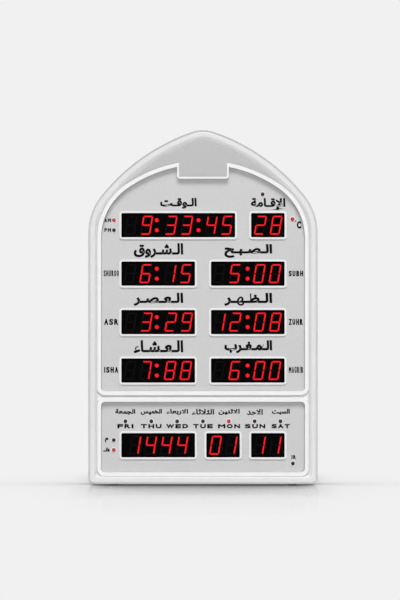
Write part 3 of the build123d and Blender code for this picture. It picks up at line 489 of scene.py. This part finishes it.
lit_places = lamps("lit_lamps", "lamp_lit")
dark_places = lamps("dark_lamps", "lamp_dark")
receiver_places = lamps("remote_receiver", "receiver_black")
lamp_rims(lit_places + dark_places + receiver_places)


# ================================================================ screw heads
HEAD_RADIUS, HEAD_HEIGHT = 3.0, 2.0
HEAD_EDGE, HEAD_ROUND = 0.9, 1.1        # height of the straight edge, and how far the top curves in
HEAD_STEPS = 5
SHANK_RADIUS, POINT_RADIUS, POINT_LENGTH = 1.4, 1.1, 1.0
RECESS_DEPTH, RECESS_ARM, RECESS_WIDTH = 1.2, 1.9, 0.7
RECESS_TAPER = 0.55                     # width at the bottom as a share of that at the top
CUTTER_ABOVE = 0.4                      # how far the cutter stands out of the head


def cross_cutter(shape, centre, y):
    """Adds two crossed tapered bars, to cut a driver's recess out of a screw head."""
    for along, across in ((RECESS_ARM, RECESS_WIDTH / 2), (RECESS_WIDTH / 2, RECESS_ARM)):
        bar = bmesh.ops.create_cube(shape, size=2 * MM)
        for vertex in bar["verts"]:
            outer = vertex.co.y > 0
            taper = 1.0 if outer else RECESS_TAPER
            vertex.co.x = vertex.co.x * along * taper + centre[0]
            vertex.co.z = vertex.co.z * across * taper + centre[1]
            vertex.co.y = y + (CUTTER_ABOVE if outer else -RECESS_DEPTH) * MM


def head_profile(tip):
    """From the point of the shank, at a distance from the head's underside, to the middle of its top."""
    profile = [(0, tip, 0), (POINT_RADIUS * MM, tip, 0)]
    profile += [(SHANK_RADIUS * MM, tip + POINT_LENGTH * MM, 0), (SHANK_RADIUS * MM, 0, 0)]
    profile += [(HEAD_RADIUS * MM, 0, 0), (HEAD_RADIUS * MM, HEAD_EDGE * MM, 0)]
    for turn in quarter_turn(HEAD_STEPS):
        radius = HEAD_RADIUS - HEAD_ROUND * (1 - math.cos(turn))
        out = HEAD_EDGE + (HEAD_HEIGHT - HEAD_EDGE) * math.sin(turn)
        profile.append((radius * MM, out * MM, 0))
    return profile + [(0, HEAD_HEIGHT * MM, 0)]


def screw_heads(node_name):
    """Pan heads with a cross recess, facing the rear, on plain shanks."""
    places, front, back = clusters(node_name)
    under = back - HEAD_HEIGHT * MM
    shape, cutter = bmesh.new(), bmesh.new()
    for x, z in places:
        lathe(shape, (x, under, z), head_profile(front - under), toward=1, segments=32)
        cross_cutter(cutter, (x, z), back)
    made = piece("cover_screw_heads", shape, finishes["steel"], smooth=False)
    tool = in_scene("cross_recess", mesh_from("cross_recess", cutter))
    cut = made.modifiers.new("recess", "BOOLEAN")
    cut.operation, cut.solver, cut.use_self, cut.object = "DIFFERENCE", "EXACT", True, tool
    done = evaluated_mesh(made)
    made.modifiers.clear()
    made.data = done
    bpy.data.objects.remove(tool)
    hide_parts(node_name)


screw_heads("cover_screws")


# ================================================================ lettering
# Arabic letters: the code of the isolated form, and how many forms follow one another from there
# (isolated, final, initial, medial). A letter with two forms never joins the next one.
FORMS = {
    "ا": (0xFE8D, 2), "ب": (0xFE8F, 4), "ة": (0xFE93, 2), "ت": (0xFE95, 4), "ث": (0xFE99, 4),
    "ج": (0xFE9D, 4), "ح": (0xFEA1, 4), "خ": (0xFEA5, 4), "د": (0xFEA9, 2), "ر": (0xFEAD, 2),
    "س": (0xFEB1, 4), "ش": (0xFEB5, 4), "ص": (0xFEB9, 4), "ظ": (0xFEC5, 4), "ع": (0xFEC9, 4),
    "غ": (0xFECD, 4), "ق": (0xFED5, 4), "ل": (0xFEDD, 4), "م": (0xFEE1, 4), "ن": (0xFEE5, 4),
    "ه": (0xFEE9, 4), "و": (0xFEED, 2), "ي": (0xFEF1, 4), "ء": (0xFE80, 1), "لا": (0xFEFB, 2),
    "لإ": (0xFEF9, 2),
}
KASHIDA = "ـ"               # a line that lengthens the join between two letters

PRINT_RAISED = 0.05
PRINT_EXTRUDE = 0.25        # straight part of the print's edge, as a share of the weight
OUTLINE_STEPS = 5
LETTER_GAP = 0.24           # between two capitals, as a share of a common capital's width
LETTER_SHARES = {"I": 0.34, "M": 1.25, "W": 1.35}
DEGREE_SIGN, DEGREE_RADII, DEGREE_SEGMENTS = (124.3, 354.0), (1.15, 0.45), 24

# Text, x range, z range and weight of each label, in mm from the middle of the clock and above the table.
MAIN_CAPTIONS = [
    ("الـوقـت", (-57.6, -8.4), (370.8, 385.3), 0.74),
    ("الإقـامة", (64.3, 110.7), (368.8, 385.3), 0.72),
    ("الـشـروق", (-93.0, -26.5), (304.8, 324.5), 0.83),
    ("الـصـبـح", (28.7, 93.0), (304.8, 323.3), 0.94),
    ("الـعـصـر", (-93.0, -26.5), (240.3, 257.9), 0.90),
    ("الـظـهـر", (28.7, 93.0), (240.3, 257.9), 0.94),
    ("الـعـشـاء", (-93.0, -26.5), (176.8, 194.2), 0.86),
    ("الـمـغـرب", (28.7, 93.0), (176.8, 194.2), 0.94),
]
SIDE_LABELS = [
    ("AM", (-132.4, -123.4), (352.6, 357.8), 0.35),
    ("PM", (-132.4, -123.4), (339.4, 344.7), 0.37),
    ("C", (126.0, 132.0), (344.1, 354.0), 0.68),
    ("SHUROQ", (-133.5, -113.0), (280.0, 288.0), 0.35),
    ("SUBH", (115.1, 134.5), (280.0, 287.6), 0.53),
    ("ASR", (-132.7, -113.9), (214.7, 222.8), 0.57),
    ("ZUHR", (115.2, 134.0), (214.7, 222.8), 0.54),
    ("ISHA", (-132.7, -113.9), (150.4, 158.4), 0.56),
    ("MAGRIB", (115.2, 134.4), (150.2, 158.6), 0.35),
]
ERA_LABELS = [
    ("م", (-131.8, -127.0), (57.0, 63.4), 0.42),
    ("ه" + KASHIDA, (-133.8, -125.2), (44.5, 50.2), 0.42),
]
RECEIVER_LABEL = ("IR", (118.9, 124.7), (34.6, 39.9), 0.40)

# Arabic and Latin name of each day, each with its x range. The names of a kind share z range and weight.
DAY_NAMES = [
    ("الجمعة", (-117.9, -90.9), "FRI", (-115.0, -93.4)),
    ("الخميس", (-83.8, -55.1), "THU", (-83.3, -55.6)),
    ("الاربعاء", (-49.0, -20.0), "WED", (-49.2, -20.0)),
    ("الثلاثاء", (-14.9, 15.0), "TUE", (-13.1, 13.3)),
    ("الاثنين", (20.6, 49.4), "MON", (20.2, 49.8)),
    ("الاحد", (59.2, 80.4), "SUN", (56.3, 83.6)),
    ("السبت", (92.6, 116.7), "SAT", (92.1, 116.7)),
]
DAY_WORDS = ((93.8, 101.9), 0.45)
DAY_CAPITALS = ((75.8, 81.6), 0.54)


def arabic(word):
    """The word's joined letter forms, in the order they stand from left to right."""
    letters = []
    for letter in word:
        if letter in "اإ" and letters and letters[-1] == "ل":
            letters[-1] = "ل" + letter
        else:
            letters.append(letter)
    shaped = []
    joined = False
    for place, letter in enumerate(letters):
        after = letters[place + 1] if place + 1 < len(letters) else ""
        if letter == KASHIDA:
            shaped.append(letter)
            joined = True
            continue
        code, forms = FORMS[letter]
        onward = forms == 4 and after != "" and (after == KASHIDA or FORMS[after][1] > 1)
        form = (3 if onward else 1) if joined else (2 if onward else 0)
        shaped.append(chr(code + form))
        joined = onward
    return "".join(reversed(shaped))


def bounds_of(mesh, axis):
    values = [vertex.co[axis] for vertex in mesh.vertices]
    return min(values), max(values)


def label(shape, text, span, heights, weight):
    """Raised print that fills a box: span is its x range and heights its z range, in mm.

    The outline fills the box less the weight, by which every stroke then grows on both sides, in mm.
    """
    text_data = bpy.data.curves.new("label", "FONT")
    text_data.body = text
    text_data.resolution_u = OUTLINE_STEPS
    writer = in_scene("label", text_data)
    bare = evaluated_mesh(writer)
    (left, right), (low, high) = bounds_of(bare, 0), bounds_of(bare, 1)
    scale_x = (span[1] - span[0] - 2 * weight) / (right - left)
    scale_z = (heights[1] - heights[0] - 2 * weight) / (high - low)
    curve = writer.to_curve(bpy.context.evaluated_depsgraph_get()).copy()
    curve.transform(Matrix.Diagonal((scale_x, scale_z, 1, 1)) @ Matrix.Translation((-left, -low, 0)))
    for spline in curve.splines:
        for point in spline.bezier_points:
            point.radius = 1.0      # the transform scales it too, and with it the weight
    curve.bevel_depth = weight
    curve.bevel_resolution = 0
    curve.extrude = weight * PRINT_EXTRUDE
    outline = in_scene("label", curve)
    thick = evaluated_mesh(outline)
    rise = PRINT_RAISED / (weight * (1 + PRINT_EXTRUDE))
    for vertex in thick.vertices:
        x, z, out = vertex.co
        x, z = span[0] + weight + x, heights[0] + weight + z
        vertex.co = (x * MM, face_y - out * rise * MM, z * MM)
    shape.from_mesh(thick)
    for made in (writer, outline):
        bpy.data.objects.remove(made)
    for made in (bare, thick):
        bpy.data.meshes.remove(made)


def capitals(shape, text, span, heights, weight):
    """Row of Latin capitals of like width, as in a bold condensed face."""
    shares = [LETTER_SHARES.get(letter, 1.0) for letter in text]
    unit = (span[1] - span[0]) / (sum(shares) + LETTER_GAP * (len(text) - 1))
    start = span[0]
    for letter, share in zip(text, shares):
        label(shape, letter, (start, start + share * unit), heights, weight)
        start += (share + LETTER_GAP) * unit


def degree_ring(shape):
    """Small ring of the degree sign."""
    (x, z), (outer, inner) = DEGREE_SIGN, DEGREE_RADII
    corners = [(outer, 0), (outer, PRINT_RAISED), (inner, PRINT_RAISED), (inner, 0)]
    profile = [(radius * MM, out * MM, 0) for radius, out in corners]
    lathe(shape, (x * MM, face_y, z * MM), profile, segments=DEGREE_SEGMENTS)


def lettering():
    shape = bmesh.new()
    for word, *box in MAIN_CAPTIONS:
        label(shape, arabic(word), *box)
    for text, *box in SIDE_LABELS:
        capitals(shape, text, *box)
    degree_ring(shape)
    piece("main_face_lettering", shape, finishes["printed_ink"], smooth=False)
    shape = bmesh.new()
    for word, word_span, text, text_span in DAY_NAMES:
        label(shape, arabic(word), word_span, *DAY_WORDS)
        capitals(shape, text, text_span, *DAY_CAPITALS)
    for word, *box in ERA_LABELS:
        label(shape, arabic(word), *box)
    capitals(shape, *RECEIVER_LABEL)
    piece("calendar_face_lettering", shape, finishes["printed_ink"], smooth=False)


lettering()


# ================================================================ floor, world, light and camera
# Lengths and places from here on are in metres.
BACKDROP = 0.879            # linear grey that the floor and the background show
BOUNCE = 0.76               # share of its paleness that the floor gives back to the clock
DIFFUSE_LIGHT = 0.16        # strength of the light that comes from all round
FLOOR_SIZE = 4.0
SHADE_REACH, SHADE_SAMPLES = 0.24, 8
LIGHTS_MEET = (0.0, 0.0, 0.25)          # where all the lights are aimed
CAMERA_PLACE, CAMERA_LENS = (-0.0040, -3.037, 0.2482), 135.0


def backdrop_colour():
    return (BACKDROP, BACKDROP, BACKDROP, 1)


def floor_surface():
    """Pale glossy floor. Away from the clock the camera sees it as it sees the background."""
    material, tree, shader = start_material("floor_surface", Roughness=0.06, Specular_IOR_Level=0.45)
    place = axes(tree, coordinates(tree))
    off_side = calculate(tree, "ABSOLUTE", place["X"])
    seen = add(tree, "ShaderNodeLightPath").outputs["Is Camera Ray"]

    # The share of its paleness that is left in the clock's soft shade, which is thin beside the clock.
    inputs = {"Distance": SHADE_REACH}
    nearby = add(tree, "ShaderNodeAmbientOcclusion", inputs, samples=SHADE_SAMPLES).outputs["AO"]
    hidden = spread(tree, nearby, 0.90, 0.0, (0.5, 1.0))
    line = spread(tree, calculate(tree, "ABSOLUTE", place["Y"]), 0.62, 0.12, (0.012, 0.060))
    kept = calculate(tree, "MAXIMUM", line, falling(tree, off_side, 0.13, 0.19))
    open_share = calculate(tree, "SUBTRACT", 1.0, product(tree, hidden, kept))

    # The camera sees that share, and the clock gets an even bounce.
    bounce = product(tree, calculate(tree, "SUBTRACT", 1.0, seen), BOUNCE)
    strength = calculate(tree, "ADD", product(tree, open_share, seen), bounce)
    pale = blend_colours(tree, noise(tree, 6.0, 2.0), grey(0.88), grey(0.90))
    shaded = add(tree, "ShaderNodeVectorMath", {0: pale, "Scale": strength}, operation="SCALE")
    tree.links.new(shaded.outputs["Vector"], shader.inputs["Base Color"])

    # The polish gives way to the plain backdrop with the distance beside, behind and before the clock.
    aside = rising(tree, off_side, 0.12, 0.24)
    behind = rising(tree, place["Y"], 0.0, 0.20)
    before = falling(tree, place["Y"], -0.45, -0.03)
    distances = add(tree, "ShaderNodeCombineXYZ", {"X": aside, "Y": behind, "Z": before})
    away = add(tree, "ShaderNodeVectorMath", {0: distances.outputs["Vector"]}, operation="LENGTH")
    fade = spread(tree, away.outputs["Value"], 0.42, 1.0, (0.05, 1.0))
    far = add(tree, "ShaderNodeEmission", {"Color": backdrop_colour(), "Strength": open_share})
    mixed = mixed_shader(tree, product(tree, fade, seen), shader.outputs["BSDF"], far.outputs["Emission"])
    tree.links.new(mixed, tree.nodes["Material Output"].inputs["Surface"])
    return material


def floor():
    shape = bmesh.new()
    bmesh.ops.create_grid(shape, x_segments=1, y_segments=1, size=FLOOR_SIZE)
    made = in_scene("floor", mesh_from("floor", shape))
    made.data.materials.append(floor_surface())


def world():
    """Low light from all round, behind the pale backdrop that the camera and reflections see."""
    made = bpy.data.worlds.new("studio")
    bpy.context.scene.world = made
    made.use_nodes = True
    tree = made.node_tree
    tree.nodes.clear()
    path = add(tree, "ShaderNodeLightPath").outputs
    seen = path["Is Camera Ray"]
    for ray in ("Is Glossy Ray", "Is Transmission Ray"):
        seen = calculate(tree, "MAXIMUM", seen, path[ray])
    light = add(tree, "ShaderNodeBackground", {"Color": (1, 1, 1, 1), "Strength": DIFFUSE_LIGHT})
    shown = add(tree, "ShaderNodeBackground", {"Color": backdrop_colour(), "Strength": 1.0})
    mixed = mixed_shader(tree, seen, light.outputs["Background"], shown.outputs["Background"])
    output = add(tree, "ShaderNodeOutputWorld")
    tree.links.new(mixed, output.inputs["Surface"])


def aim(name, data, place):
    made = in_scene(name, data)
    made.location = place
    made.rotation_euler = (Vector(LIGHTS_MEET) - Vector(place)).to_track_quat("-Z", "Y").to_euler()


def sun(name, energy, angle, place):
    """Distant light, alike over the whole clock, as wide as its angle in degrees."""
    data = bpy.data.lights.new(name, "SUN")
    data.energy = energy
    data.angle = math.radians(angle)
    aim(name, data, place)


def fill_light():
    """Broad soft box in front, at the height of the clock."""
    data = bpy.data.lights.new("front_fill", "AREA")
    data.shape = "RECTANGLE"
    data.size, data.size_y = 2.4, 1.8
    data.energy = 17.8
    aim("front_fill", data, (0.2, -4.2, 0.6))


def camera():
    """Level and straight on, from so far that no side of the case shows."""
    data = bpy.data.cameras.new("camera")
    data.lens = CAMERA_LENS
    data.clip_end = 50.0
    made = in_scene("camera", data)
    made.location = CAMERA_PLACE
    made.rotation_euler = (math.radians(90), 0, 0)
    bpy.context.scene.camera = made


floor()
world()
sun("key", energy=2.45, angle=28, place=(0.10, -3.0, 3.55))
fill_light()
sun("rear_left", energy=0.75, angle=40, place=(-1.6, 2.5, 1.3))
sun("rear_right", energy=0.75, angle=40, place=(1.6, 2.5, 1.3))
camera()
bpy.context.scene.view_settings.view_transform = "Standard"

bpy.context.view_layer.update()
